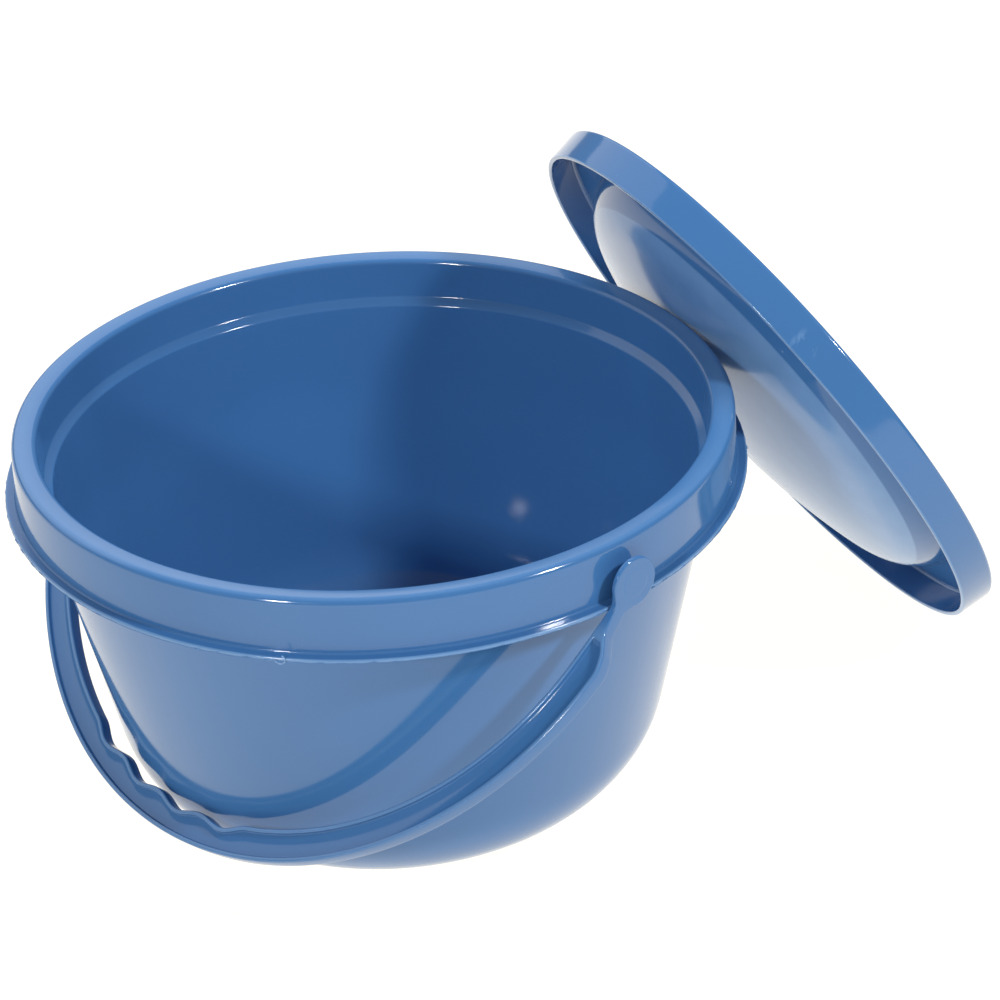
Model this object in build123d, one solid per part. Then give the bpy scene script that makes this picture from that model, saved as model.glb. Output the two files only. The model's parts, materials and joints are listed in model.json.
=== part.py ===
"""Commode pail: a round pail with a hollow rolled rim, a swinging bail handle and a dished lid.

Frame: origin at the centre of the flat base, +Z up, X along the handle's hinge line.
At rest the handle hangs against the -Y side of the pail, and the lid is off: it stands on
the floor on its edge and leans on the +Y side of the rim, hollow side towards the pail.
Millimetres and degrees throughout.
"""
from build123d import *
from math import acos, asin, atan2, cos, pi, radians, sin, sqrt, tan
import os

# ---- pail ----------------------------------------------------------------------------
pail_height = 167.5           # floor to the highest line of the rim
mouth_radius = 135.5          # inside of the rim, at its top
rim_height = 24.0             # rim top down to the middle of the flange
crown_width = 9.8             # rim's top face, from the mouth to the outside
skirt_draft = 0.7             # the rim's outside is this much larger in radius at the flange
flange_width = 4.0            # how far the flange stands out from the rim
flange_thickness = 1.8
skirt_wall = 2.4
crown_fall = 1.2              # how far the rim's top face falls from its outer to its inner edge
crown_outer_round = 2.6
crown_inner_round = 2.2
ledge_depth = 20.5            # rim top down to the inner edge of the lid's ledge
ledge_rise = 2.6              # the ledge slopes up by this towards the wall
ledge_step = 1.5              # the rim's inside narrows by this down to the ledge
ledge_width = 3.5
wall_spread = 1.6             # outside of the wall beyond the mouth, at the level of the flange
wall_taper = 12.0             # degrees from upright
wall_thickness = 2.6
base_thickness = 3.0
base_corner = 48.0            # outside radius between the wall and the flat base
wall_bend_depth = 34.0        # below the flange, the inside turns from the ledge to the full taper
wall_bend_round = 160.0

# ---- handle --------------------------------------------------------------------------
hinge_above_flange = 8.1      # hinge line above the middle of the flange
grip_gap = 0.4                # handle to the wall that it hangs against
flange_clearance = 0.5        # inside of the arms to the outer edge of the flange
arm_straight = 12.0           # hinge line to where the arms start to draw in
bail_drop = 15.5              # hinge line to the centre of the half circle
bail_narrowing = 1.7          # the half circle's inner radius is this much less than the arms'
bail_depth = 13.4             # inner edge to outer edge, in the handle's plane
bail_width = 6.2              # across the handle's plane
web_thickness = 2.6
outer_lip = 1.9
inner_lip = 1.8
grip_waves = 4                # finger hollows along the inner edge
grip_pitch = 10.1             # degrees of the half circle for each
grip_hollow = 2.8             # depth of each hollow
grip_off_middle = 2.0         # degrees by which the hollows are off the handle's middle
ear_radius = 10.4
ear_thickness = 2.1
ear_neck_round = 7.0          # between the ear and the arm
neck_straight = 9.0           # hinge line to where the arm's outside starts to lean out,
neck_length = 22.0            # and to where it starts to thicken
neck_lean = 1.4
shoulder_length = 8.2         # the arm thickens by the next size over this length
shoulder_step = 5.0
flare_length = 6.3            # and reaches its full depth over this one
neck_round = 6.0
shoulder_round = 4.0
flare_round = 12.0
pocket_start = 25.5           # hinge line to the first end of the hollow between the lips
peg_diameter = 8.0
peg_clearance = 0.08          # radial, peg in the skirt's hole
boss_diameter = 10.0
boss_gap = 0.6                # boss to the outside of the skirt
peg_head_diameter = 9.6
peg_head_gap = 0.6            # head to the inside of the skirt
peg_head_length = 2.6

# ---- lid -----------------------------------------------------------------------------
lid_clearance = 1.1           # lid to the mouth, when it is in place
lid_height = 15.6             # free edge to closed edge
lid_draft = 2.0               # the free edge is this much smaller in radius than the closed edge
lid_wall = 2.2
lid_edge_round = 1.6
lid_margin = 19.7             # flat margin between the band and the dish
dish_depth = 31.5             # the panel is dished towards the hollow side
dish_side = 20.4              # width of the dish's steeper side
dish_floor_ball = 336.0       # the rest of the dish is part of a ball of this radius
dish_edge_round = 4.5         # turn between the margin and the dish
grip_length = 84.0            # upright fin in the dish, to lift the lid by
grip_thickness = 6.0
grip_flare = 8.0              # its ends slope out by this much
grip_round = 9.0
grip_below_edge = 1.5         # fin top below the closed edge
lid_tilt = 29.8               # degrees: the lid's axis above level
lid_azimuth = 76.7            # degrees from +X: the way its closed side faces
lid_bearing = 81.1            # degrees from +X: the direction of that centre
lid_floor_gap = 0.2           # lid's lowest point above the floor
lid_rim_gap = 0.3             # lid's dish to the rim that it leans on

# ---- worked-out sizes ----------------------------------------------------------------
skirt_top_radius = mouth_radius + crown_width
skirt_foot_radius = skirt_top_radius + skirt_draft
flange_radius = skirt_foot_radius + flange_width
ledge_outer_radius = mouth_radius - ledge_step
ledge_inner_radius = ledge_outer_radius - ledge_width
wall_top_radius = mouth_radius + wall_spread
flange_level = pail_height - rim_height
flange_foot = flange_level - flange_thickness / 2
flange_top = flange_level + flange_thickness / 2
hinge_level = flange_level + hinge_above_flange
taper_slope = tan(radians(wall_taper))
wall_inset = wall_thickness / cos(radians(wall_taper))
arm_inner = flange_radius + flange_clearance
bail_inner = arm_inner - bail_narrowing
bail_outer = bail_inner + bail_depth
ear_face = arm_inner + ear_thickness
lid_radius = mouth_radius - lid_clearance
dish_edge = lid_radius - lid_wall - lid_margin
dish_floor_reach = dish_edge - dish_side


def wall_outside(z):
    """Radius of the wall's outside at height z."""
    return wall_top_radius - (flange_level - z) * taper_slope


def skirt_outside(z):
    """Radius of the rim's outside at height z."""
    share = (z - flange_top) / (pail_height - flange_top)
    return skirt_foot_radius + (skirt_top_radius - skirt_foot_radius) * share


def wall_reach(z):
    """Radius of the pail's outside at height z, with the rounded turn to the base."""
    slope = radians(wall_taper)
    z = max(z, 0)
    flat = wall_outside(0) - base_corner * tan((pi / 2 - slope) / 2)
    if z > base_corner * (1 - sin(slope)):
        return wall_outside(z)
    return flat + sqrt(base_corner ** 2 - (base_corner - z) ** 2)


def settled(gap, low, high):
    """The value between low and high at which a falling gap reaches nothing."""
    for _ in range(50):
        middle = (low + high) / 2
        if gap(middle) > 0:
            low = middle
        else:
            high = middle
    return low


def hanging_angle():
    """How far below level the handle hangs, against the wall or, if long enough, on the floor."""
    reach = bail_drop + bail_inner
    half = bail_width / 2

    def gap(angle):
        turn = radians(angle)
        out = reach * cos(turn) - half * sin(turn)
        height = hinge_level - reach * sin(turn) - half * cos(turn)
        lowest = height - (bail_outer - bail_inner) * sin(turn)
        return min(out - wall_reach(height) - grip_gap, lowest - grip_gap)

    return settled(gap, 5, 85)


def vertex_near(face, x, y):
    """The vertex of a flat face that lies nearest to a point."""
    return face.vertices().sort_by_distance(Vector(x, y, 0))[0]


def rounded(face, corners):
    """Round the listed corners of a flat face: (x, y, radius) each."""
    for x, y, radius in corners:
        face = fillet(vertex_near(face, x, y), radius)
    return face


def turned(face):
    """Revolve a section drawn as (radius, height) about the Z axis."""
    return revolve(Plane.XZ * face, axis=Axis.Z, revolution_arc=360)


def make_pail():
    crown_inner = pail_height - crown_fall
    crown_under = pail_height - crown_fall - wall_thickness
    bend_level = flange_level - wall_bend_depth
    ledge_level = pail_height - ledge_depth
    base_edge = wall_outside(0)
    base_inner_edge = wall_outside(base_thickness) - wall_inset
    bend_radius = wall_outside(bend_level) - wall_inset
    skirt_inner_top = skirt_top_radius - skirt_wall
    skirt_inner_foot = skirt_foot_radius - skirt_wall
    section = make_face(Polyline(
        (0, 0),
        (base_edge, 0),
        (wall_top_radius, flange_level),
        (mouth_radius + wall_thickness, crown_under),
        (skirt_inner_top, crown_under),
        (skirt_inner_foot, flange_foot),
        (flange_radius, flange_foot),
        (flange_radius, flange_top),
        (skirt_foot_radius, flange_top),
        (skirt_top_radius, pail_height),
        (mouth_radius, crown_inner),
        (ledge_outer_radius, ledge_level + ledge_rise),
        (ledge_inner_radius, ledge_level),
        (bend_radius, bend_level),
        (base_inner_edge, base_thickness),
        (0, base_thickness),
        close=True,
    ))
    section = rounded(section, [
        (base_edge, 0, base_corner),
        (base_inner_edge, base_thickness, base_corner - wall_thickness),
        (bend_radius, bend_level, wall_bend_round),
        (skirt_top_radius, pail_height, crown_outer_round),
        (mouth_radius, crown_inner, crown_inner_round),
        (ledge_outer_radius, ledge_level + ledge_rise, 1.2),
        (ledge_inner_radius, ledge_level, 1.4),
        (skirt_foot_radius, flange_top, 0.9),
        (flange_radius, flange_top, 0.7),
        (flange_radius, flange_foot, 0.7),
    ])
    pail = turned(section)
    hole = Cylinder(peg_diameter / 2 + peg_clearance, 12, rotation=(0, 90, 0))
    for side in (1, -1):
        pail -= Pos(side * (skirt_outside(hinge_level) - skirt_wall / 2), 0, hinge_level) * hole
    return pail


def bail_inside(offset):
    """Everything inside the handle's inner edge moved out by offset, finger hollows included."""
    radius = bail_inner + offset
    arm = arm_inner + offset
    half = radians(grip_pitch * grip_waves / 2)
    middle = radians(grip_off_middle)
    steps = grip_waves * 8

    def edge_point(turn):
        wave = grip_hollow / 2 * (1 - cos(2 * pi * (turn + half) / radians(grip_pitch)))
        reach = radius + wave
        return (reach * sin(turn - middle), -bail_drop - reach * cos(turn - middle))

    def arc_point(turn):
        return (radius * sin(turn), -bail_drop - radius * cos(turn))

    points = [edge_point(-half + 2 * half * i / steps) for i in range(steps + 1)]
    first = -half - middle
    last = half - middle
    waves = Spline(*points, tangents=[(cos(first), sin(first)), (cos(last), sin(last))])
    # the arms run straight from where they leave the ears to where they touch the half circle
    rise = bail_drop - arm_straight
    meet = pi / 2 + atan2(rise, arm) - acos(radius / sqrt(arm ** 2 + rise ** 2))
    left = ThreePointArc(arc_point(-meet), arc_point((first - meet) / 2), points[0])
    right = ThreePointArc(points[-1], arc_point((last + meet) / 2), arc_point(meet))
    top = Polyline(
        arc_point(meet),
        (arm, -arm_straight),
        (arm, 30),
        (-arm, 30),
        (-arm, -arm_straight),
        arc_point(-meet),
    )
    return make_face([left, waves, right, top])


def bail_outside(offset):
    """Everything inside the handle's outer edge moved in by offset, with its shoulders."""
    radius = bail_outer - offset
    disc = Pos(0, -bail_drop) * Circle(radius)
    shoulder = neck_length + shoulder_length
    full = shoulder + flare_length
    reach = sqrt(radius ** 2 - (full - bail_drop) ** 2)
    neck = ear_face + neck_lean - offset
    for side in (1, -1):
        corner = make_face(Polyline(
            (side * (ear_face - offset), 40),
            (side * (ear_face - offset), -neck_straight),
            (side * neck, -neck_length),
            (side * (neck + shoulder_step), -shoulder),
            (side * reach, -full),
            (side * (bail_outer + 20), -full),
            (side * (bail_outer + 20), 40),
            close=True,
        ))
        corner = rounded(corner, [
            (side * neck, -neck_length, neck_round),
            (side * (neck + shoulder_step), -shoulder, shoulder_round),
        ])
        disc -= corner
    return rounded(disc, [(side * reach, -full, flare_round) for side in (1, -1)])


def make_bail():
    """The handle, drawn in the XY plane with its arms towards -Y, then hung on its hinge."""
    arms = Pos(0, -2 - 100) * Rectangle(400, 200)
    band = (bail_outside(0) - bail_inside(0)) & arms
    bail = extrude(band, bail_width / 2, both=True)
    room = Pos(0, -pocket_start - 150) * Rectangle(400, 300)
    pocket = (bail_outside(outer_lip) - bail_inside(inner_lip)) & room
    recess = extrude(pocket, (bail_width - web_thickness) / 2)
    bail -= Pos(0, 0, web_thickness / 2) * recess
    bail -= Pos(0, 0, -bail_width / 2) * recess
    neck_foot = ear_radius + ear_neck_round
    neck = Circle(ear_radius) + Pos(0, -neck_foot / 2) * Rectangle(bail_width, neck_foot)
    waist = sqrt(ear_radius ** 2 - (bail_width / 2) ** 2)
    neck = rounded(neck, [(side * bail_width / 2, -waist, ear_neck_round) for side in (1, -1)])
    ear_plate = extrude(neck, ear_thickness)
    skirt = skirt_outside(hinge_level)
    boss_start = skirt + boss_gap
    head_end = skirt - skirt_wall - peg_head_gap
    for side in (1, -1):
        # drawn flat, then turned to stand across the hinge line
        plate = Pos(side * arm_inner, 0, 0) * Rot(0, 90 * side, 0) * ear_plate
        boss = Pos(side * (boss_start + arm_inner) / 2, 0, 0) * Cylinder(
            boss_diameter / 2, arm_inner - boss_start, rotation=(0, 90, 0))
        peg = Pos(side * (head_end + boss_start) / 2, 0, 0) * Cylinder(
            peg_diameter / 2, boss_start - head_end + 1, rotation=(0, 90, 0))
        head = Pos(side * (head_end - peg_head_length / 2), 0, 0) * Cone(
            peg_head_diameter / 2 if side < 0 else peg_head_diameter / 2 - 1.2,
            peg_head_diameter / 2 if side > 0 else peg_head_diameter / 2 - 1.2,
            peg_head_length, rotation=(0, 90, 0))
        bail += plate + boss + peg + head
    return Pos(0, 0, hinge_level) * Rot(hanging_angle(), 0, 0) * bail


def dish_turns():
    """The dish's slope at the end of its floor and at its edge, and its side's radius."""
    start = asin(dish_floor_reach / dish_floor_ball)
    rise = dish_depth - dish_floor_ball * (1 - cos(start))
    end = 2 * atan2(rise, dish_side) - start
    return start, end, dish_side / (sin(end) - sin(start))


def dish_curve(inset):
    """The dish's curve in section, inset into its wall, from its edge to its middle."""
    start, end, side = dish_turns()
    bottom = lid_height - lid_wall - dish_depth
    middle = bottom + dish_floor_ball

    def floor(turn):
        reach = dish_floor_ball - inset
        return (reach * sin(turn), middle - reach * cos(turn))

    def flank(turn):
        back = dish_floor_ball - side
        reach = side - inset
        return (back * sin(start) + reach * sin(turn),
                middle - back * cos(start) - reach * cos(turn))

    return [
        ThreePointArc(flank(end), flank((start + end) / 2), flank(start)),
        ThreePointArc(floor(start), floor(start / 2), floor(0)),
    ]


def make_lid():
    """The lid with its axis on Z: free edge at 0, closed edge at lid_height."""
    under = lid_height - lid_wall
    free = lid_radius - lid_draft
    bottom = under - dish_depth
    outer_edge = dish_edge - lid_wall * tan(dish_turns()[1] / 2)
    upper = dish_curve(lid_wall)
    section = make_face([
        *upper,
        *dish_curve(0),
        Polyline(
            upper[0] @ 0,
            (outer_edge, lid_height),
            (lid_radius, lid_height),
            (free, 0),
            (free - lid_wall, 0),
            (lid_radius - lid_wall, under),
            (dish_edge, under),
        ),
        Line((0, bottom), (0, bottom + lid_wall)),
    ])
    section = rounded(section, [
        (lid_radius, lid_height, lid_edge_round),
        (lid_radius - lid_wall, under, 1.0),
        (free, 0, 0.8),
        (free - lid_wall, 0, 0.8),
        (dish_edge, under, dish_edge_round - lid_wall),
    ])
    lid = turned(section)
    # the grip stands in the dish: it is cut off half way into the panel's thickness
    fin_top = lid_height - grip_below_edge
    fin_foot = under - dish_depth
    half = grip_length / 2
    fin = make_face(Polyline(
        (-half - grip_flare, fin_foot),
        (-half, fin_top),
        (half, fin_top),
        (half + grip_flare, fin_foot),
        close=True,
    ))
    fin = rounded(fin, [(-half, fin_top, grip_round), (half, fin_top, grip_round)])
    fin = extrude(Plane.XZ * fin, grip_thickness / 2, both=True)
    middle = dish_curve(lid_wall / 2)
    rim = (middle[0] @ 0).X
    bowl = make_face([
        *middle,
        Polyline(middle[0] @ 0, (rim, lid_height + 1), (0, lid_height + 1), middle[1] @ 1),
    ])
    return lid + (fin & turned(bowl))


def dish_floor(radius):
    """Height and slope of the dish's hollow-side face, on the lid's own axis."""
    start, end, side = dish_turns()
    middle = lid_height - lid_wall - dish_depth + dish_floor_ball
    if radius <= dish_floor_reach:
        turn = asin(radius / dish_floor_ball)
        return middle - dish_floor_ball * cos(turn), turn
    turn = asin(sin(start) + (radius - dish_floor_reach) / side)
    return middle - (dish_floor_ball - side) * cos(start) - side * cos(turn), turn


def lid_plane(reach):
    """The plane of the lid's opening when its centre stands that far out from the pail's axis."""
    lean = radians(lid_tilt)
    turn = radians(lid_azimuth)
    bearing = radians(lid_bearing)
    height = (lid_radius - lid_draft) * cos(lean) + lid_floor_gap
    return Plane(
        origin=(reach * cos(bearing), reach * sin(bearing), height),
        x_dir=(-sin(turn), cos(turn), 0),
        z_dir=(cos(lean) * cos(turn), cos(lean) * sin(turn), sin(lean)),
    )


def lid_place():
    """Where the lid stands: on the floor on its edge, its dish against the rim."""
    ring = skirt_top_radius - crown_outer_round
    level = pail_height - crown_outer_round
    turns = [radians(lid_azimuth - 30 + step) for step in range(61)]

    def gap(back):
        plane = lid_plane(2 * flange_radius - back)
        gaps = []
        for turn in turns:
            point = plane.to_local_coords(Vector(ring * cos(turn), ring * sin(turn), level))
            radius = sqrt(point.X ** 2 + point.Y ** 2)
            if radius < dish_edge:
                height, slope = dish_floor(radius)
                gaps.append((height - point.Z) * cos(slope) - crown_outer_round - lid_rim_gap)
        return min(gaps, default=1)

    return lid_plane(2 * flange_radius - settled(gap, 0, flange_radius))


def main():
    os.makedirs("parts", exist_ok=True)
    print("handle hangs", round(hanging_angle(), 2), "degrees below level; lid's opening at",
          lid_place().origin, "axis", lid_place().z_dir)
    shapes = {
        "pail": make_pail(),
        "bail_handle": make_bail(),
        "lid": lid_place().location * make_lid(),
    }
    for name, shape in shapes.items():
        solids = shape.solids()
        box = shape.bounding_box()
        print(name, len(solids), "solid", round(shape.volume / 1000, 1), "cm3",
              [round(v, 1) for v in (*box.min, *box.max)])
        export_step(shape, f"parts/{name}.step")


main()
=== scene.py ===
"""Commode pail with a bail handle and a lid that leans on its rim.

Each operator makes one moulding in its place in the row frame, in metres: the pail stands on
the floor about the Z axis, the handle hangs from a hinge line along X, and the lid stands on
its edge on the +Y side.
"""
import json
from math import acos, asin, atan2, ceil, cos, hypot, pi, radians, sin, sqrt, tan

import bmesh
import bpy
from mathutils import Matrix, Vector


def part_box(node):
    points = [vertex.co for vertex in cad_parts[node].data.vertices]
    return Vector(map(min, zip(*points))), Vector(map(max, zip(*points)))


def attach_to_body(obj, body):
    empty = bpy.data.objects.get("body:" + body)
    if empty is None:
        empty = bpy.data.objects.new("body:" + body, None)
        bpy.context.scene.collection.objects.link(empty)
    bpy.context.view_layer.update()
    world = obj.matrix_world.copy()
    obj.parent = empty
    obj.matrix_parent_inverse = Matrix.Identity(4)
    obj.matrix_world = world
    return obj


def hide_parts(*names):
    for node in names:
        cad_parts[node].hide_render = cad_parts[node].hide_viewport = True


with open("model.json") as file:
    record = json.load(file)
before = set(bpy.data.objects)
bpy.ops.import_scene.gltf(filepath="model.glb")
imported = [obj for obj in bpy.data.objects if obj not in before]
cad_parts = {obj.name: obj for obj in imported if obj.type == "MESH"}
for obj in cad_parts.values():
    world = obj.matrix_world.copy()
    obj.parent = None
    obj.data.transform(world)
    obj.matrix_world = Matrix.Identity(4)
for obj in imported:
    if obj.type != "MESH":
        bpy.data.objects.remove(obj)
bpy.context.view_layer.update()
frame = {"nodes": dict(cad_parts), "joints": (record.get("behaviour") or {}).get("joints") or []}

bl_info = {
    "name": "Commode Pail",
    "version": (1, 0, 0),
    "blender": (4, 5, 0),
    "location": "3D View > Sidebar > Pail",
    "description": "Moulded commode pail with a bail handle and a dished lid",
    "category": "Object",
}

MM = 0.001


def joint_named(name):
    """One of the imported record's joints."""
    return next(j for j in frame["joints"] if j["name"] == name)


def node_points(node):
    """Vertices of a CAD node, in the row frame."""
    return [v.co.copy() for v in frame["nodes"][node].data.vertices]


HINGE_LEVEL = joint_named("bail_swing")["pos_m"][2]
LID_AXIS = Vector(joint_named("lid_lift")["axis"]).normalized()
PAIL_LOW, PAIL_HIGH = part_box("pail")
SCUFF = Vector((0.119, 0.1255, 0.1924))     # where the lid's band is scuffed
SHARP = radians(40)                         # edges that turn more than this stay sharp
ARC_STEP = radians(7.5)                     # turn of each step in a rounded corner
WELD = 1e-6                                 # points nearer than this are one point
FLASH_STEPS = 1100                          # round the flange, fine enough for ragged teeth
CURL_BEARING = radians(-53.5)               # from +X, of the curl of flash
CURL_REACH, CURL_THICK = 2.0 * MM, 0.28 * MM     # radii of its loop and of its strand
LOOP_REACH, LOOP_STEP = 10, 0.01            # code of the handle's section while it is spun


# ---- sizes and colours ---------------------------------------------------------------

def length(name, description, default, **more):
    """A size in metres, given in millimetres here."""
    return bpy.props.FloatProperty(name=name, description=description, default=default * MM,
                                   unit="LENGTH", precision=5, min=0.0, **more)


def colour(name, description, default):
    """A colour without alpha."""
    return bpy.props.FloatVectorProperty(name=name, description=description, default=default,
                                         subtype="COLOR", size=3, min=0.0, max=1.0)


class PailSizes(bpy.types.PropertyGroup):
    height: length("Height", "Floor to the rim's sharp upper corner", 167.5)
    flange_radius: bpy.props.FloatProperty(
        name="Flange radius", description="Outer edge of the flange under the rim",
        default=PAIL_HIGH.x, unit="LENGTH")
    rim_height: length("Rim height", "Rim top to the middle of the flange", 24.0)
    flange_thickness: length("Flange thickness", "Thickness of the flange", 1.8)
    skirt_top: length("Rim top radius", "Outside of the rim at its top", 145.3)
    skirt_foot: length("Rim foot radius", "Outside of the rim at the flange", 146.0)
    skirt_wall: length("Rim wall", "Thickness of the rim's skirt", 2.4)
    mouth: length("Mouth radius", "Inside of the rim at its top", 135.5)
    crown_fall: length("Crown fall", "Fall of the rim's top face towards the mouth", 1.2)
    ledge_depth: length("Ledge depth", "Rim top to the inner edge of the lid's ledge", 20.5)
    ledge_rise: length("Ledge rise", "Rise of the ledge towards the wall", 2.6)
    ledge_outer: length("Ledge outer radius", "Where the ledge meets the rim", 134.0)
    ledge_inner: length("Ledge inner radius", "Where the ledge meets the wall", 130.5)
    wall_top: length("Wall top radius", "Outside of the wall at the flange", 137.1)
    wall_taper: bpy.props.FloatProperty(name="Taper", description="Wall from upright",
                                        default=radians(12.0), subtype="ANGLE")
    wall: length("Wall", "Wall thickness", 2.6)
    base: length("Base", "Base thickness", 3.0)
    base_corner: length("Base corner", "Outside radius between wall and base", 48.0)
    bend_depth: length("Bend depth", "Flange down to where the inside takes its full taper", 34.0)
    bend_round: length("Bend radius", "Radius of that bend", 160.0)
    hole: length("Peg hole radius", "Holes for the handle's pegs", 4.08)
    segments: bpy.props.IntProperty(name="Segments", description="Steps round the pail",
                                    default=256, min=32, max=512)


class HandleSizes(bpy.types.PropertyGroup):
    arm: length("Arm radius", "Hinge axis to the inside of each arm", 150.5)
    straight: length("Arm straight", "Hinge line to where the arms draw in", 12.0)
    drop: length("Drop", "Hinge line to the centre of the half circle", 15.5)
    inner: length("Inner radius", "Inner edge of the half circle", 148.8)
    depth: length("Depth", "Inner edge to outer edge", 13.4)
    width: length("Width", "Across the handle's plane", 6.2)
    edge: length("Edge", "Rounding of the handle's long edges", 0.75)
    web: length("Web", "Thickness between the lips", 2.6)
    outer_lip: length("Outer lip", "Thickness of the outer lip", 1.9)
    inner_lip: length("Inner lip", "Thickness of the inner lip", 1.8)
    pocket: length("Pocket start", "Hinge line to the first end of the hollow", 25.5)
    waves: bpy.props.IntProperty(name="Finger hollows", description="Along the inner edge",
                                 default=4, min=0, max=8)
    pitch: bpy.props.FloatProperty(name="Hollow pitch", description="Turn taken by each hollow",
                                   default=radians(10.1), subtype="ANGLE")
    off_middle: bpy.props.FloatProperty(name="Hollow offset", subtype="ANGLE",
                                        description="Hollows off the handle's middle",
                                        default=radians(2.0))
    hollow: length("Hollow depth", "Depth of each finger hollow", 2.8)
    ear: length("Ear radius", "Round ears at the arms' ends", 10.4)
    ear_thickness: length("Ear thickness", "Thickness of ears and arm straps", 2.1)
    ear_neck: length("Ear neck", "Rounding between ear and arm", 7.0)
    lean_start: length("Lean start", "Hinge line to where the outside leans out", 9.0)
    lean: length("Lean", "How far it leans before it thickens", 1.4)
    neck: length("Neck length", "Hinge line to where the arm thickens", 22.0)
    shoulder: length("Shoulder length", "Length of the first thickening", 8.2)
    shoulder_step: length("Shoulder step", "Size of the first thickening", 5.0)
    flare: length("Flare length", "Length of the last thickening", 6.3)
    boss: length("Boss radius", "Boss between ear and rim", 5.0)
    peg: length("Peg radius", "Pegs that turn in the rim", 4.0)
    gap: length("Boss gap", "Boss and head to the rim's skirt", 0.6)
    head: length("Head radius", "Head behind the skirt", 4.8)
    head_length: length("Head length", "Length of that head", 2.6)
    segments: bpy.props.IntProperty(name="Segments", description="Steps along the handle",
                                    default=620, min=60, max=900)


class LidSizes(bpy.types.PropertyGroup):
    radius: length("Radius", "Closed edge of the band", 134.4)
    height: length("Height", "Free edge to closed edge", 15.6)
    draft: length("Draft", "The free edge is this much smaller in radius", 2.0)
    wall: length("Wall", "Wall thickness", 2.2)
    margin: length("Margin", "Flat margin between the band and the dish", 19.7)
    dish: length("Dish depth", "Depth of the panel's dish", 31.5)
    side: length("Dish side", "Width of the dish's steeper side", 20.4)
    ball: length("Dish floor radius", "Curvature of the flatter middle", 336.0)
    grip_length: length("Grip length", "Upright fin in the dish", 84.0)
    grip_flare: length("Grip flare", "Slope of the fin's ends", 8.0)
    grip_thickness: length("Grip thickness", "Thickness of the fin", 6.0)
    grip_below: length("Grip below edge", "Fin top below the closed edge", 1.5)
    segments: bpy.props.IntProperty(name="Segments", description="Steps round the lid",
                                    default=256, min=32, max=512)


class PlasticLook(bpy.types.PropertyGroup):
    body: colour("Body colour", "Blue of the moulded plastic", (0.048, 0.155, 0.370))
    pale: colour("Stress colour", "Paler blue of thin edges and scuffs", (0.26, 0.45, 0.72))
    roughness: bpy.props.FloatProperty(name="Roughness", description="Of clean plastic",
                                       default=0.09, min=0.0, max=1.0)


class StageLook(bpy.types.PropertyGroup):
    floor: colour("Floor colour", "Pale warm floor", (0.94, 0.90, 0.82))
    glow: bpy.props.FloatProperty(name="Floor glow", description="Light from the floor itself",
                                  default=1.14, min=0.0)
    key: bpy.props.FloatProperty(name="Key light", description="Power of the lamp at the right",
                                 default=30.0, unit="POWER")
    second: bpy.props.FloatProperty(name="Second light", description="Power of the front lamp",
                                    default=18.0, unit="POWER")
    fill: bpy.props.FloatProperty(name="Surroundings", description="Strength of the white room",
                                  default=0.18)
    rear: bpy.props.FloatProperty(name="Rear light", description="Power of the broad rear lamp",
                                  default=34.0, unit="POWER")
    side: bpy.props.FloatProperty(name="Side light", description="Power of the broad side panel",
                                  default=16.0, unit="POWER")


def settings(group):
    """One of the scene's groups of sizes or colours."""
    return getattr(bpy.context.scene, group)


# ---- mesh helpers --------------------------------------------------------------------

def outline(bm, corners, step=4 * MM):
    """A chain of edges in the XZ plane through corners (x, z, rounding radius).

    Each rounded corner is a true arc, spun about its own centre.
    """
    last = None
    points = [Vector((x, 0, z)) for x, z, _ in corners]
    for i, (x, z, rounding) in enumerate(corners):
        here = points[i]
        if rounding and 0 < i < len(corners) - 1:
            back = (points[i - 1] - here).normalized()
            on = (points[i + 1] - here).normalized()
            corner = acos(max(-1.0, min(1.0, back.dot(on))))
            first = bm.verts.new(here + back * rounding / tan(corner / 2))
            centre = here + (back + on).normalized() * rounding / sin(corner / 2)
            turn = pi - corner
            way = 1 if back.cross(on).y < 0 else -1
            steps = max(3, ceil(turn / ARC_STEP))
            spun = bmesh.ops.spin(bm, geom=[first], cent=centre, axis=(0, way, 0),
                                  angle=turn, steps=steps, use_duplicate=False)
            end = next(g for g in spun["geom_last"] if isinstance(g, bmesh.types.BMVert))
        else:
            first = end = bm.verts.new(here)
        if last is not None:
            bm.edges.new((last, first))
        last = end
    for edge in list(bm.edges):
        cuts = int(edge.calc_length() / step)
        if cuts:
            bmesh.ops.subdivide_edges(bm, edges=[edge], cuts=cuts)


def lathe(bm, segments, axis=(0, 0, 1)):
    """Spin a whole outline about an axis through the origin and close it."""
    bmesh.ops.spin(bm, geom=bm.verts[:] + bm.edges[:], cent=(0, 0, 0), axis=axis,
                   angle=2 * pi, steps=segments, use_merge=True)
    bmesh.ops.remove_doubles(bm, verts=bm.verts[:], dist=WELD)
    bmesh.ops.recalc_face_normals(bm, faces=bm.faces[:])


def shade_smooth(bm, sharp):
    """Smooth shading everywhere but over the sharp edges."""
    for face in bm.faces:
        face.smooth = True
    for edge in bm.edges:
        edge.smooth = not (len(edge.link_faces) == 2 and edge.calc_face_angle(0) > sharp)


def object_from(bm, name, sharp=SHARP):
    """Turn a bmesh into a smooth-shaded object at the origin."""
    bmesh.ops.recalc_face_normals(bm, faces=bm.faces[:])
    shade_smooth(bm, sharp)
    mesh = bpy.data.meshes.new(name)
    bm.to_mesh(mesh)
    bm.free()
    piece = bpy.data.objects.new(name, mesh)
    bpy.context.scene.collection.objects.link(piece)
    return piece


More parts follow.
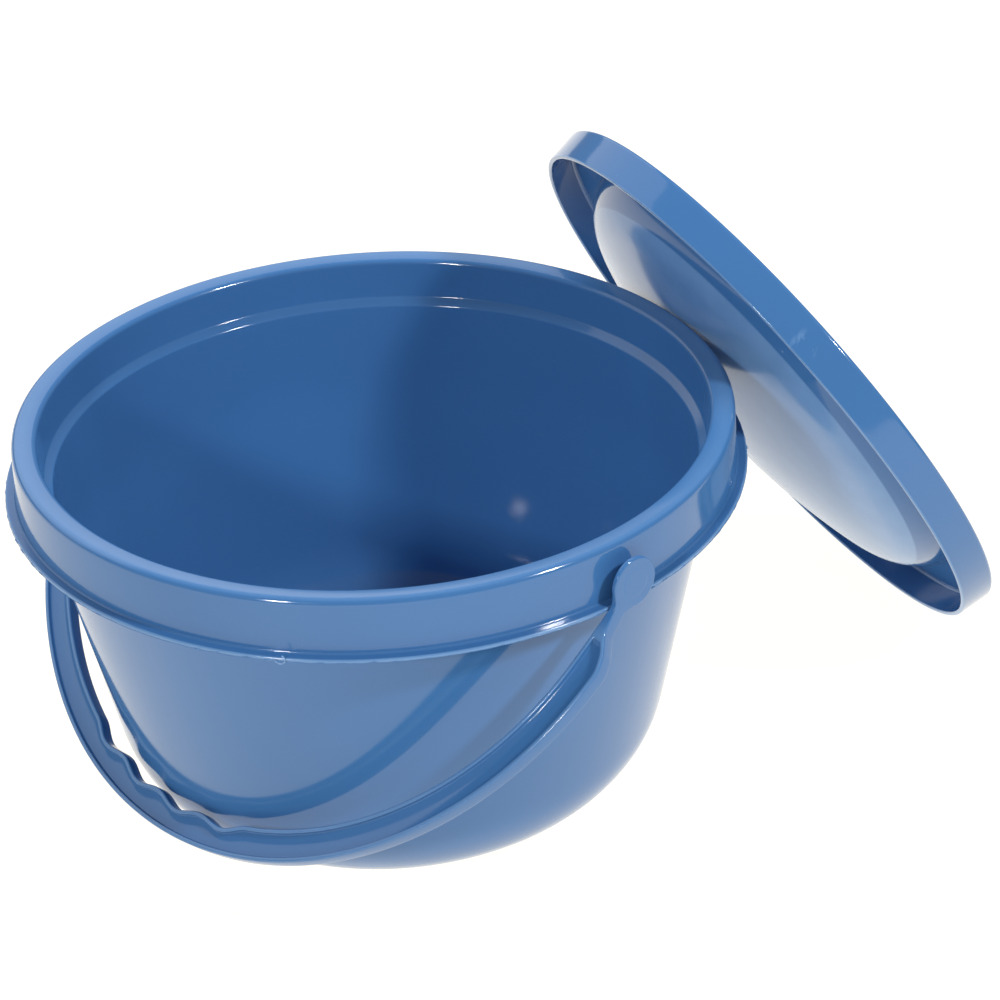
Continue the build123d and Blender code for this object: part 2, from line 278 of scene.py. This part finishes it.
def combine(piece, other, operation):
    """Join to or cut from a piece, and leave the result as its plain mesh."""
    cut = piece.modifiers.new("combine", "BOOLEAN")
    cut.operation = operation
    cut.object = other
    cut.solver = "EXACT"
    bpy.context.view_layer.update()
    made = bpy.data.meshes.new_from_object(
        piece.evaluated_get(bpy.context.evaluated_depsgraph_get()))
    piece.modifiers.remove(cut)
    old = piece.data
    piece.data = made
    made.name = piece.name
    bpy.data.meshes.remove(old)
    bpy.data.objects.remove(other)


def attach(piece, other):
    """Add another closed shell to a piece, sunk into it, without cutting either."""
    bm = bmesh.new()
    bm.from_mesh(piece.data)
    bm.from_mesh(other.data)
    bm.to_mesh(piece.data)
    bm.free()
    bpy.data.objects.remove(other)


def crisp(piece, sharp=SHARP):
    """Shade a piece again after a cut or a join."""
    bm = bmesh.new()
    bm.from_mesh(piece.data)
    shade_smooth(bm, sharp)
    bm.to_mesh(piece.data)
    bm.free()


def finish(piece, node, material):
    """Seat a finished moulding on its CAD node's body."""
    piece.data.materials.clear()
    piece.data.materials.append(material)
    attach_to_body(piece, node)
    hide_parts(node)


# ---- shader helpers ------------------------------------------------------------------

class Value:
    """A shader socket that can be used in Python arithmetic."""

    def __init__(self, shader, socket):
        self.shader = shader
        self.socket = socket

    def _math(self, operation, a, b=None):
        inputs = [a] if b is None else [a, b]
        return self.shader.node("ShaderNodeMath", {"operation": operation}, *inputs)

    def __add__(self, other):
        return self._math("ADD", self, other)

    __radd__ = __add__

    def __sub__(self, other):
        return self._math("SUBTRACT", self, other)

    def __rsub__(self, other):
        return self._math("SUBTRACT", other, self)

    def __mul__(self, other):
        return self._math("MULTIPLY", self, other)

    __rmul__ = __mul__

    def clamped(self):
        return self.shader.node("ShaderNodeClamp", {}, self)

    def absolute(self):
        return self._math("ABSOLUTE", self)

    def root(self):
        return self._math("SQRT", self)


class Shader:
    """One material and its nodes."""

    def __init__(self, name):
        self.material = bpy.data.materials.new(name)
        self.material.use_nodes = True
        self.tree = self.material.node_tree
        self.tree.nodes.clear()

    def node(self, kind, settings_, *inputs, out=0, **named):
        """Add a node with its settings, then its inputs in order or by name."""
        made = self.tree.nodes.new(kind)
        for key, value in settings_.items():
            setattr(made, key, value)
        pairs = list(zip(made.inputs, inputs))
        pairs += [(made.inputs[key.replace("_", " ")], value) for key, value in named.items()]
        for socket, value in pairs:
            self.feed(socket, value)
        return Value(self, made.outputs[out]) if made.outputs else None

    def feed(self, socket, value):
        """Link a value to a socket, or set a plain number, colour or vector on it."""
        if isinstance(value, Value):
            self.tree.links.new(value.socket, socket)
        elif value is not None:
            socket.default_value = value

    def spread(self, value, low, high):
        """0 below low, 1 above high, smooth between."""
        return self.node("ShaderNodeMapRange", {"interpolation_type": "SMOOTHSTEP"},
                         value, low, high, 0.0, 1.0)

    def noise(self, where, scale, detail=2.0, roughness=0.5, distortion=0.0):
        return self.node("ShaderNodeTexNoise", {}, Vector=where, Scale=scale, Detail=detail,
                         Roughness=roughness, Distortion=distortion)

    def mix(self, share, a, b):
        """Colour a turning into colour b."""
        made = self.tree.nodes.new("ShaderNodeMix")
        made.data_type = "RGBA"
        self.feed(made.inputs[0], share)
        self.feed(made.inputs[6], a if isinstance(a, Value) else (*a, 1.0))
        self.feed(made.inputs[7], b if isinstance(b, Value) else (*b, 1.0))
        return Value(self, made.outputs[2])

    def stretched(self, where, scale, turn=(0, 0, 0), move=(0, 0, 0)):
        """Coordinates moved, turned and scaled."""
        return self.node("ShaderNodeMapping", {"vector_type": "POINT"}, Vector=where,
                         Location=move, Rotation=turn, Scale=scale)


# ---- plastic -------------------------------------------------------------------------

def plastic(name, to_piece, edge_mask):
    """Glossy moulded polypropylene.

    to_piece turns row coordinates to the piece's own, and edge_mask marks its thin edges.
    """
    look = settings("plastic_look")
    s = Shader(name)
    row = s.node("ShaderNodeTexCoord", {}, out=3)
    own = to_piece(s, row)
    # pigment that never mixed quite evenly, and a little cloudiness
    cloud = s.noise(own, 9.0, detail=3.0, roughness=0.6)
    fleck = s.noise(own, 620.0, detail=2.0, roughness=0.7)
    base = s.mix((cloud - 0.5) * 0.55 + 0.5,
                 [c * 0.93 for c in look.body], [min(1.0, c * 1.07) for c in look.body])
    base = s.mix(s.spread(fleck, 0.66, 0.80) * 0.06, base, look.pale)
    # hairline scratches from use, each patch in its own direction
    patch = s.noise(own, 14.0, detail=1.0)
    streak_a = s.noise(s.stretched(own, (24.0, 900.0, 900.0), turn=(0.3, 0.2, 0.7)), 1.0,
                       detail=2.0, roughness=0.7)
    streak_b = s.noise(s.stretched(own, (900.0, 30.0, 700.0), turn=(0.9, -0.4, 0.2)), 1.0,
                       detail=2.0, roughness=0.7)
    scratch = (s.spread(streak_a, 0.67, 0.74) * s.spread(patch, 0.46, 0.62)
               + s.spread(streak_b, 0.68, 0.75) * s.spread(patch, 0.54, 0.42)).clamped()
    base = s.mix(scratch * 0.05, base, look.pale)
    edge = edge_mask(s, own)
    wear = (edge * (0.55 + 0.45 * s.noise(own, 60.0, detail=3.0))).clamped()
    base = s.mix(wear * 0.6, base, look.pale)
    # the gloss is broken by handling marks
    smear = s.spread(s.noise(own, 22.0, detail=4.0, roughness=0.62, distortion=0.6), 0.45, 0.75)
    rough = (look.roughness + smear * 0.07 + scratch * 0.12 + wear * 0.10
             + (fleck - 0.5) * 0.04).clamped()
    # faint orange peel, a long slow ripple of thin moulded walls, and the scratches
    peel = s.noise(own, 260.0, detail=2.0)
    ripple = s.noise(own, 11.0, detail=1.0)
    height = peel * 0.006 + ripple * 0.9 - scratch * 0.010
    bump = s.node("ShaderNodeBump", {}, Strength=0.35, Distance=MM, Height=height)
    shader = s.node("ShaderNodeBsdfPrincipled", {}, Base_Color=base, Roughness=rough,
                    Normal=bump, IOR=1.55)
    s.node("ShaderNodeOutputMaterial", {}, shader)
    return s.material


def axes_of(s, place):
    """The three coordinates of a place, each on its own."""
    parts = s.tree.nodes.new("ShaderNodeSeparateXYZ")
    s.tree.links.new(place.socket, parts.inputs[0])
    return [Value(s, socket) for socket in parts.outputs]


def same_frame(s, row):
    """For a piece whose pattern needs no turning."""
    return row


def pail_edges(s, own):
    """The flange's lip, and the worn corners of the rim."""
    sizes = settings("pail_sizes")
    x, y, z = axes_of(s, own)
    reach = (x * x + y * y).root()
    lip = s.spread(reach, sizes.flange_radius - 1.0 * MM, sizes.flange_radius - 0.1 * MM)
    top = s.spread(z, PAIL_HIGH.z - 0.9 * MM, PAIL_HIGH.z - 0.1 * MM)
    stray = s.spread(reach, sizes.flange_radius + 0.06 * MM, sizes.flange_radius + 0.2 * MM)
    return (lip * 0.7 + top * 0.25 + stray * 1.5).clamped()


def handle_frame(s, row):
    """Row coordinates turned into the handle's plane, the hinge line at Z 0."""
    moved = s.stretched(row, (1, 1, 1), move=(0, 0, -HINGE_LEVEL))
    return s.stretched(moved, (1, 1, 1), turn=(-handle_angle(), 0, 0))


def handle_edges(s, own):
    """The lips' outer corners, on both faces, below the ears."""
    sizes = settings("handle_sizes")
    half = sizes.width / 2
    _, y, z = axes_of(s, own)
    below = s.spread(y * -1.0, sizes.ear + 6 * MM, sizes.ear + 14 * MM)
    return s.spread(z.absolute(), half - 0.5 * MM, half) * below * 0.5


def lid_edges(s, own):
    """The band's free edge, and one scuff on the band."""
    x, y, z = axes_of(s, own)
    level = x * LID_AXIS.x + y * LID_AXIS.y + z * LID_AXIS.z
    free = lid_matrix().translation.dot(LID_AXIS)
    edge = s.spread(level, free + 0.9 * MM, free + 0.1 * MM)
    far = ((x - SCUFF.x) * (x - SCUFF.x) + (y - SCUFF.y) * (y - SCUFF.y)
           + (z - SCUFF.z) * (z - SCUFF.z)).root()
    grain = s.noise(s.stretched(own, (300.0, 90.0, 90.0), turn=(0.2, 0.5, 0.9)), 1.0,
                    detail=3.0, roughness=0.7)
    scuff = s.spread(far, 8.0 * MM, 1.5 * MM) * s.spread(grain, 0.50, 0.62)
    return (edge + scuff * 0.8).clamped()


# ---- the pail ------------------------------------------------------------------------

class PAIL_OT_pail(bpy.types.Operator):
    """Make the pail: flat base, tapered wall, lid ledge, hollow rolled rim and flange"""
    bl_idname = "pail.pail"
    bl_label = "Pail"

    def execute(self, context):
        p = context.scene.pail_sizes
        level = p.height - p.rim_height
        slope = tan(p.wall_taper)
        inset = p.wall / cos(p.wall_taper)

        def outside(z):
            return p.wall_top - (level - z) * slope

        foot = level - p.flange_thickness / 2
        top = level + p.flange_thickness / 2
        crown = p.height - p.crown_fall
        under = crown - p.wall
        ledge = p.height - p.ledge_depth
        bend = level - p.bend_depth
        corners = [
            (0, 0, 0),
            (outside(0), 0, p.base_corner),
            (p.wall_top, level, 2 * MM),
            (p.mouth + p.wall, under, 1.2 * MM),
            (p.skirt_top - p.skirt_wall, under, 1.2 * MM),
            (p.skirt_foot - p.skirt_wall, foot, 0.5 * MM),
            (p.flange_radius, foot, 0.7 * MM),
            (p.flange_radius, top, 0.7 * MM),
            (p.skirt_foot, top, 0.9 * MM),
            (p.skirt_top, p.height, 2.6 * MM),
            (p.mouth, crown, 2.2 * MM),
            (p.ledge_outer, ledge + p.ledge_rise, 1.2 * MM),
            (p.ledge_inner, ledge, 1.4 * MM),
            (outside(bend) - inset, bend, p.bend_round),
            (outside(p.base) - inset, p.base, p.base_corner - p.wall),
            (0, p.base, 0),
        ]
        bm = bmesh.new()
        outline(bm, corners)
        lathe(bm, p.segments)
        pail = object_from(bm, "pail_moulding")
        for side in (1, -1):
            bm = bmesh.new()
            place = Matrix.Translation((side * (p.skirt_top - p.skirt_wall / 2), 0, HINGE_LEVEL))
            bmesh.ops.create_cone(bm, cap_ends=True, segments=48, radius1=p.hole,
                                  radius2=p.hole, depth=8 * MM,
                                  matrix=place @ Matrix.Rotation(pi / 2, 4, "Y"))
            combine(pail, object_from(bm, "peg_hole"), "DIFFERENCE")
        crisp(pail)
        attach(pail, self.flash(p, foot))
        attach(pail, self.curl(p, foot))
        finish(pail, "pail", plastic("pail_plastic", same_frame, pail_edges))
        return {"FINISHED"}

    def flash(self, p, foot):
        """Thin ragged flash that the mould leaves along the flange's lower edge."""
        bm = bmesh.new()
        level = foot + 0.35 * MM
        sunk, half = p.flange_radius - 0.5 * MM, 0.12 * MM
        outline(bm, [
            (sunk, level - half, 0),
            (p.flange_radius + 0.05 * MM, level - 0.05 * MM, 0),
            (sunk, level + half, 0),
            (sunk, level - half, 0),
        ])
        lathe(bm, FLASH_STEPS)
        # long patches with and without flash, and short teeth in them that never repeat
        for vert in bm.verts:
            if hypot(vert.co.x, vert.co.y) > p.flange_radius:
                turn = atan2(vert.co.y, vert.co.x)
                patch = 0.5 + 0.5 * sin(5 * turn + 1.3) * sin(11 * turn + 0.4)
                tooth = sin(173 * turn) * sin(311 * turn + 2.1) + 0.6 * sin(97 * turn + 0.7)
                vert.co *= 1 + patch * max(tooth, 0) * 0.55 * MM / p.flange_radius
                vert.co.z += patch * half * sin(61 * turn)
        return object_from(bm, "flash")

    def curl(self, p, foot):
        """A loose curl of flash that hangs on the flange."""
        bm = bmesh.new()
        bmesh.ops.create_circle(bm, cap_ends=True, segments=10, radius=CURL_THICK,
                                matrix=Matrix.Translation((CURL_REACH, 0, 0))
                                @ Matrix.Rotation(pi / 2, 4, "X"))
        bmesh.ops.spin(bm, geom=bm.verts[:] + bm.edges[:] + bm.faces[:], cent=(0, 0, 0),
                       axis=(0, 0, 1), dvec=(0, 0, 0.02 * MM), angle=radians(230), steps=26)
        place = (Matrix.Rotation(CURL_BEARING, 4, "Z")
                 @ Matrix.Translation((p.flange_radius + 0.25 * MM, 0, foot + 1.5 * MM))
                 @ Matrix.Rotation(pi / 2, 4, "Y") @ Matrix.Rotation(radians(-75), 4, "Z"))
        bmesh.ops.transform(bm, matrix=place, verts=bm.verts[:])
        return object_from(bm, "curl")


# ---- the handle ----------------------------------------------------------------------

def handle_angle():
    """How far the handle's plane hangs below level, from the CAD node's centre of area."""
    mesh = frame["nodes"]["bail_handle"].data
    total = sum((f.center * f.area for f in mesh.polygons), Vector())
    area = sum(f.area for f in mesh.polygons)
    middle = total / area
    return atan2(HINGE_LEVEL - middle.z, -middle.y)


def eased(value, low, high):
    """0 below low, 1 above high, smooth between."""
    share = max(0.0, min(1.0, (value - low) / (high - low)))
    return share * share * (3 - 2 * share)


def ramp(value, soft):
    """The value where it is positive and 0 elsewhere, with a rounded turn."""
    if value <= -soft:
        return 0.0
    return value if value >= soft else (value + soft) ** 2 / (4 * soft)


class Arm:
    """The handle's line from ear to ear, in its own plane: arms towards -Y, thickness on Z."""

    def __init__(self, h):
        self.h = h
        self.first = 4 * MM
        rise = h.drop - h.straight
        self.meet = acos(h.inner / hypot(h.arm, rise)) - atan2(rise, h.arm)
        touch = Vector((h.inner * cos(self.meet), h.drop + h.inner * sin(self.meet)))
        self.start = Vector((h.arm, h.straight))
        self.touch = touch
        self.slant = (touch - self.start).length
        self.arm = h.straight - self.first + self.slant
        self.length = 2 * self.arm + (pi - 2 * self.meet) * h.inner

    def at(self, run):
        """Inner edge, direction to the outer edge and depth, at a distance along the line."""
        h = self.h
        side = 1 if run <= self.length / 2 else -1
        run = min(run, self.length - run)
        wave = 0.0
        if run < h.straight - self.first:
            turn, place = 0.0, Vector((h.arm, self.first + run))
        elif run < self.arm:
            share = (run - h.straight + self.first) / self.slant
            turn, place = self.meet * share, self.start.lerp(self.touch, share)
        else:
            turn = self.meet + (run - self.arm) / h.inner
            half = h.pitch * h.waves / 2
            from_middle = (turn - pi / 2) * side - h.off_middle
            if abs(from_middle) < half:
                wave = h.hollow / 2 * (1 - cos(2 * pi * (from_middle + half) / h.pitch))
            reach = h.inner + wave
            place = Vector((reach * cos(turn), h.drop + reach * sin(turn)))
        out = Vector((cos(turn), sin(turn)))
        depth = h.depth - wave
        if place.y < h.drop + 40 * MM:
            depth = 0.0
            for _ in range(5):
                depth = (self.outside(place.y + depth * out.y) - place.x) / out.x
        inner = Vector((side * place.x, -place.y, 0))
        return inner, Vector((side * out.x, -out.y, 0)), depth, place.y

    def outside(self, down):
        """How far out the outer edge is, at a distance below the hinge line."""
        h = self.h
        lean = h.lean / (h.neck - h.lean_start)
        step = h.shoulder_step / h.shoulder
        full = h.neck + h.shoulder + h.flare
        round_ = h.inner + h.depth
        neck = h.arm + h.ear_thickness + h.lean
        reach = sqrt(round_ ** 2 - (full - h.drop) ** 2)
        flare = (reach - neck - h.shoulder_step) / h.flare
        line = (h.arm + h.ear_thickness + lean * ramp(down - h.lean_start, 1 * MM)
                + (step - lean) * ramp(down - h.neck, 1.4 * MM)
                + (flare - step) * ramp(down - h.neck - h.shoulder, 0.6 * MM))
        circle = sqrt(round_ ** 2 - (down - h.drop) ** 2)
        return line - ramp(line - circle, 1.1 * MM)

    def half_width(self, down):
        """Half the width across the plane, with the rounded neck to the ear."""
        h = self.h
        middle = h.width / 2 + h.ear_neck
        centre = sqrt((h.ear + h.ear_neck) ** 2 - middle ** 2)
        low = centre * h.ear / (h.ear + h.ear_neck)
        down = min(max(down, low), centre)
        return middle - sqrt(h.ear_neck ** 2 - (centre - down) ** 2)


def lipped_half(h, depth, half, share):
    """The section's upper half: (distance from the inner edge, height), inner edge first.

    share is 0 where the section is solid and 1 where the hollow between the lips is full.
    """
    fit = min(1.0, depth / (h.inner_lip + h.outer_lip + 1.6 * MM))
    edge, soft, foot = h.edge * fit, 0.35 * MM * fit, 0.5 * MM * fit
    web = h.web / 2

    def side(lip):
        lip *= fit
        arc = [(edge * (1 - cos(a)), half - edge * (1 - sin(a)))
               for a in (0, pi / 8, pi / 4, 3 * pi / 8, pi / 2)]
        top = [(lip - soft * (1 - sin(a)), half - soft * (1 - cos(a)))
               for a in (0, pi / 4, pi / 2)]
        low = [(lip + foot * (1 - cos(a)), web + foot * (1 - sin(a)))
               for a in (0, pi / 4, pi / 2)]
        return arc + [(x, half + (z - half) * share) for x, z in top + low]

    outer = [(depth - x, z) for x, z in side(h.outer_lip)]
    return side(h.inner_lip) + outer[::-1]


class PAIL_OT_handle(bpy.types.Operator):
    """Make the bail handle: lipped half circle with finger hollows, shoulders, ears and pegs"""
    bl_idname = "pail.handle"
    bl_label = "Bail handle"

    def execute(self, context):
        h = context.scene.handle_sizes
        p = context.scene.pail_sizes
        line = Arm(h)
        bm = bmesh.new()
        count = len(lipped_half(h, h.depth, h.width / 2, 1))
        # a coded loop, spun as a plain half ring, then each station is set out on the line:
        # the distance past LOOP_REACH counts the section's points, and Z tells its two halves
        codes = [LOOP_REACH + LOOP_STEP * i for i in range(count)]
        upper = [bm.verts.new((code, 0, 1)) for code in codes]
        lower = [bm.verts.new((code, 0, -1)) for code in reversed(codes)]
        ring = upper + lower
        for a, b in zip(ring, ring[1:] + ring[:1]):
            bm.edges.new((a, b))
        bmesh.ops.spin(bm, geom=bm.verts[:] + bm.edges[:], cent=(0, 0, 0), axis=(0, 0, 1),
                       angle=pi, steps=h.segments)
        for start in (True, False):
            rim = [e for e in bm.edges if e.is_boundary and (e.verts[0].co.x > 0) == start]
            bmesh.ops.contextual_create(bm, geom=rim)
        stations = {}
        for vert in bm.verts:
            number = round(abs(atan2(vert.co.y, vert.co.x)) / pi * h.segments)
            if number not in stations:
                inner, out, depth, down = line.at(number / h.segments * line.length)
                share = eased(down, h.pocket, h.pocket + 1.2 * MM)
                # the strap stays a hair inside the ear's two faces
                hair = 0.05 * MM * (1 - eased(down, 8 * MM, 13 * MM))
                points = lipped_half(h, depth - 2 * hair, line.half_width(down), share)
                stations[number] = inner + out * hair, out, points
            inner, out, points = stations[number]
            code = (hypot(vert.co.x, vert.co.y) - LOOP_REACH) / LOOP_STEP
            across, height = points[round(code)]
            spot = inner + out * across
            vert.co = Vector((spot.x, spot.y, height if vert.co.z > 0 else -height))
        bmesh.ops.remove_doubles(bm, verts=bm.verts[:], dist=WELD)
        handle = object_from(bm, "handle_moulding", sharp=radians(60))
        skirt = p.skirt_foot + (p.skirt_top - p.skirt_foot) * (
            (HINGE_LEVEL - p.height + p.rim_height) / p.rim_height)
        boss = skirt + h.gap
        head = skirt - p.skirt_wall - h.gap
        face = h.arm + h.ear_thickness
        raised = face + 0.12 * MM       # a low round pad on the ear's face
        for side in (1, -1):
            bm = bmesh.new()
            outline(bm, [
                (side * raised, 0, 0),
                (side * raised, 5.4 * MM, 1.0 * MM),
                (side * face, 6.2 * MM, 1.0 * MM),
                (side * face, h.ear, 0.7 * MM),
                (side * h.arm, h.ear, 0.6 * MM),
                (side * h.arm, h.boss, 0.5 * MM),
                (side * boss, h.boss, 0.4 * MM),
                (side * boss, h.peg, 0),
                (side * head, h.peg, 0),
                (side * head, h.head, 0.3 * MM),
                (side * (head - h.head_length), h.head - 1.2 * MM, 0.4 * MM),
                (side * (head - h.head_length), 0, 0),
            ], step=1.2 * MM)
            lathe(bm, 96, axis=(1, 0, 0))
            combine(handle, object_from(bm, "ear"), "UNION")
        crisp(handle, sharp=radians(50))
        hang = Matrix.Translation((0, 0, HINGE_LEVEL)) @ Matrix.Rotation(handle_angle(), 4, "X")
        handle.data.transform(hang)
        finish(handle, "bail_handle",
               plastic("handle_plastic", handle_frame, handle_edges))
        return {"FINISHED"}


# ---- the lid -------------------------------------------------------------------------

def dish_curve(s, inset):
    """The dish in section, inset into its wall: points (radius, height) from its middle."""
    reach = s.radius - s.wall - s.margin - s.side
    start = asin(reach / s.ball)
    end = 2 * atan2(s.dish - s.ball * (1 - cos(start)), s.side) - start
    side = s.side / (sin(end) - sin(start))
    middle = s.height - s.wall - s.dish + s.ball
    back = s.ball - side
    floor = [start * i / 26 for i in range(26)]
    flank = [start + (end - start) * i / 20 for i in range(21) if i != 19]
    return ([((s.ball - inset) * sin(a), middle - (s.ball - inset) * cos(a)) for a in floor]
            + [(back * sin(start) + (side - inset) * sin(a),
                middle - back * cos(start) - (side - inset) * cos(a)) for a in flank])


def lid_matrix():
    """From the lid's own frame, free edge at 0 and axis on Z, to where it stands."""
    points = node_points("lid")
    across = Vector((-LID_AXIS.y, LID_AXIS.x, 0)).normalized()
    up = LID_AXIS.cross(across)
    sizes = settings("lid_sizes")
    along = [p.dot(across) for p in points]
    slope = [p.dot(up) for p in points]
    tall = max(p.dot(LID_AXIS) for p in points)
    centre = (across * (min(along) + max(along)) / 2 + up * (min(slope) + max(slope)) / 2
              + LID_AXIS * (tall - sizes.height))
    place = Matrix((across, up, LID_AXIS)).transposed().to_4x4()
    return Matrix.Translation(centre) @ place


class PAIL_OT_lid(bpy.types.Operator):
    """Make the lid: a shallow band, a dished panel and the fin that it is lifted by"""
    bl_idname = "pail.lid"
    bl_label = "Lid"

    def execute(self, context):
        s = context.scene.lid_sizes
        under = s.height - s.wall
        free = s.radius - s.draft
        upper = dish_curve(s, s.wall)
        lower = dish_curve(s, 0)
        # both corners of the margin are carried on to its own level
        slope = atan2(upper[-1][1] - upper[-2][1], upper[-1][0] - upper[-2][0])
        upper[-1] = (upper[-1][0] + (s.height - upper[-1][1]) / tan(slope), s.height)
        corners = [(0, upper[0][1], 0)] + [(x, z, 0) for x, z in upper[1:-1]]
        corners += [
            (*upper[-1], 1.6 * MM),
            (s.radius, s.height, 1.6 * MM),
            (free, 0, 0.8 * MM),
            (free - s.wall, 0, 0.8 * MM),
            (s.radius - s.wall, under, 1.0 * MM),
            (*lower[-1], 2.3 * MM),
        ]
        corners += [(x, z, 0) for x, z in reversed(lower[1:-1])] + [(0, lower[0][1], 0)]
        bm = bmesh.new()
        outline(bm, corners, step=3.2 * MM)
        lathe(bm, s.segments)
        lid = object_from(bm, "lid_moulding")
        # the grip: its foot follows the middle of the panel's thickness
        half = s.grip_length / 2
        top = s.height - s.grip_below
        reach = half + 0.85 * s.grip_flare
        middle = dish_curve(s, s.wall / 2)[0][1] + s.ball

        def foot(x):
            return middle - sqrt(s.ball ** 2 - x ** 2)

        feet = [reach * (i / 8 - 1) for i in range(17)]
        feet = [(x, foot(x), 0) for x in feet]
        bm = bmesh.new()
        outline(bm, feet + [(half, top, 9 * MM), (-half, top, 9 * MM), feet[0]], step=2.5 * MM)
        bmesh.ops.remove_doubles(bm, verts=bm.verts[:], dist=WELD)
        blade = bmesh.ops.contextual_create(bm, geom=bm.edges[:])["faces"]
        grown = bmesh.ops.extrude_face_region(bm, geom=blade)["geom"]
        moved = [g for g in grown if isinstance(g, bmesh.types.BMVert)]
        bmesh.ops.translate(bm, verts=moved, vec=(0, s.grip_thickness, 0))
        bmesh.ops.translate(bm, verts=bm.verts[:], vec=(0, -s.grip_thickness / 2, 0))
        bmesh.ops.recalc_face_normals(bm, faces=bm.faces[:])
        rim = [e for e in bm.edges if len(e.link_faces) == 2 and e.calc_face_angle(0) > 1.2]
        bmesh.ops.bevel(bm, geom=rim, offset=1.4 * MM, offset_type="OFFSET", segments=4,
                        profile=0.5, affect="EDGES", material=-1, clamp_overlap=True)
        combine(lid, object_from(bm, "grip"), "UNION")
        crisp(lid)
        lid.data.transform(lid_matrix())
        finish(lid, "lid", plastic("lid_plastic", same_frame, lid_edges))
        return {"FINISHED"}


# ---- the stage -----------------------------------------------------------------------

class PAIL_OT_stage(bpy.types.Operator):
    """Make the pale floor, the soft lights and the camera"""
    bl_idname = "pail.stage"
    bl_label = "Stage"

    def execute(self, context):
        look = context.scene.stage_look
        scene = context.scene
        scene.view_settings.view_transform = "Standard"
        bm = bmesh.new()
        bmesh.ops.create_grid(bm, x_segments=2, y_segments=2, size=6.0)
        floor = object_from(bm, "floor")
        s = Shader("floor_paint")
        grain = s.noise(s.node("ShaderNodeTexCoord", {}, out=3), 3.0)
        tint = s.mix(grain * 0.3, look.floor, [c * 0.98 for c in look.floor])
        # the floor glows and reflects little, so it stays pale and its shadows stay faint
        shade = s.mix(grain * 0.3, [c * 0.13 for c in look.floor],
                      [c * 0.12 for c in look.floor])
        paint = s.node("ShaderNodeBsdfPrincipled", {}, Base_Color=shade, Roughness=0.6,
                       Emission_Color=tint)
        paint.socket.node.inputs["Emission Strength"].default_value = look.glow
        s.node("ShaderNodeOutputMaterial", {}, paint)
        floor.data.materials.append(s.material)

        world = bpy.data.worlds.new("white_room")
        scene.world = world
        world.use_nodes = True
        background = world.node_tree.nodes["Background"]
        background.inputs[0].default_value = (1.0, 1.0, 1.0, 1.0)
        background.inputs[1].default_value = look.fill

        def lamp(name, bearing, rise, far, size, power, mirrored=True):
            """A lamp in a bearing and rise in degrees, aimed at the object's middle."""
            data = bpy.data.lights.new(name, "AREA")
            data.shape = "RECTANGLE"
            data.size, data.size_y = size
            data.energy = power
            lamp_ = bpy.data.objects.new(name, data)
            lamp_.visible_glossy = mirrored
            b, r = radians(bearing), radians(rise)
            aim = Vector((0.03, 0.05, 0.10))
            way = Vector((cos(b) * cos(r), sin(b) * cos(r), sin(r)))
            lamp_.location = aim + way * far
            lamp_.rotation_euler = (-way).to_track_quat("-Z", "Y").to_euler()
            scene.collection.objects.link(lamp_)

        lamp("key", 15.5, 40.5, 2.2, (0.2, 0.2), look.key)
        lamp("second", -71.3, 27.1, 2.2, (0.2, 0.2), look.second)
        lamp("rear", 150, 62, 2.2, (1.0, 1.0), look.rear, mirrored=False)
        lamp("side", -176, 34, 2.4, (3.8, 1.6), look.side)

        camera = bpy.data.cameras.new("camera")
        camera.lens = 122.4
        camera.clip_end = 20
        eye = bpy.data.objects.new("camera", camera)
        stand = (0.9478, -0.7378, 0.8237)
        bearing, tilt, roll = radians(49.751), radians(30.31), radians(-2.636)
        eye.matrix_world = (Matrix.Translation(stand)
                            @ Matrix.Rotation(bearing, 4, "Z")
                            @ Matrix.Rotation(pi / 2 - tilt, 4, "X")
                            @ Matrix.Rotation(roll, 4, "Z"))
        scene.collection.objects.link(eye)
        scene.camera = eye
        return {"FINISHED"}


class PAIL_PT_panel(bpy.types.Panel):
    """Lists the pail's operators and sizes"""
    bl_idname = "PAIL_PT_panel"
    bl_label = "Commode pail"
    bl_space_type = "VIEW_3D"
    bl_region_type = "UI"
    bl_category = "Pail"

    def draw(self, context):
        for operator in OPERATORS:
            self.layout.operator(operator.bl_idname)
        for name, group in GROUPS.items():
            box = self.layout.box()
            box.label(text=name.replace("_", " ").capitalize())
            for prop in group.__annotations__:
                box.prop(getattr(context.scene, name), prop)


GROUPS = {
    "pail_sizes": PailSizes,
    "handle_sizes": HandleSizes,
    "lid_sizes": LidSizes,
    "plastic_look": PlasticLook,
    "stage_look": StageLook,
}
OPERATORS = (PAIL_OT_stage, PAIL_OT_pail, PAIL_OT_handle, PAIL_OT_lid)
CLASSES = (*GROUPS.values(), *OPERATORS, PAIL_PT_panel)


def register():
    """Make the settings, the operators and the panel known."""
    for cls in CLASSES:
        bpy.utils.register_class(cls)
    for name, group in GROUPS.items():
        setattr(bpy.types.Scene, name, bpy.props.PointerProperty(type=group))


def unregister():
    """Take them away again."""
    for name in GROUPS:
        delattr(bpy.types.Scene, name)
    for cls in reversed(CLASSES):
        bpy.utils.unregister_class(cls)


def main():
    """Make the stage and the three mouldings."""
    register()
    bpy.ops.pail.stage()
    bpy.ops.pail.pail()
    bpy.ops.pail.handle()
    bpy.ops.pail.lid()


if __name__ == "__main__":
    main()
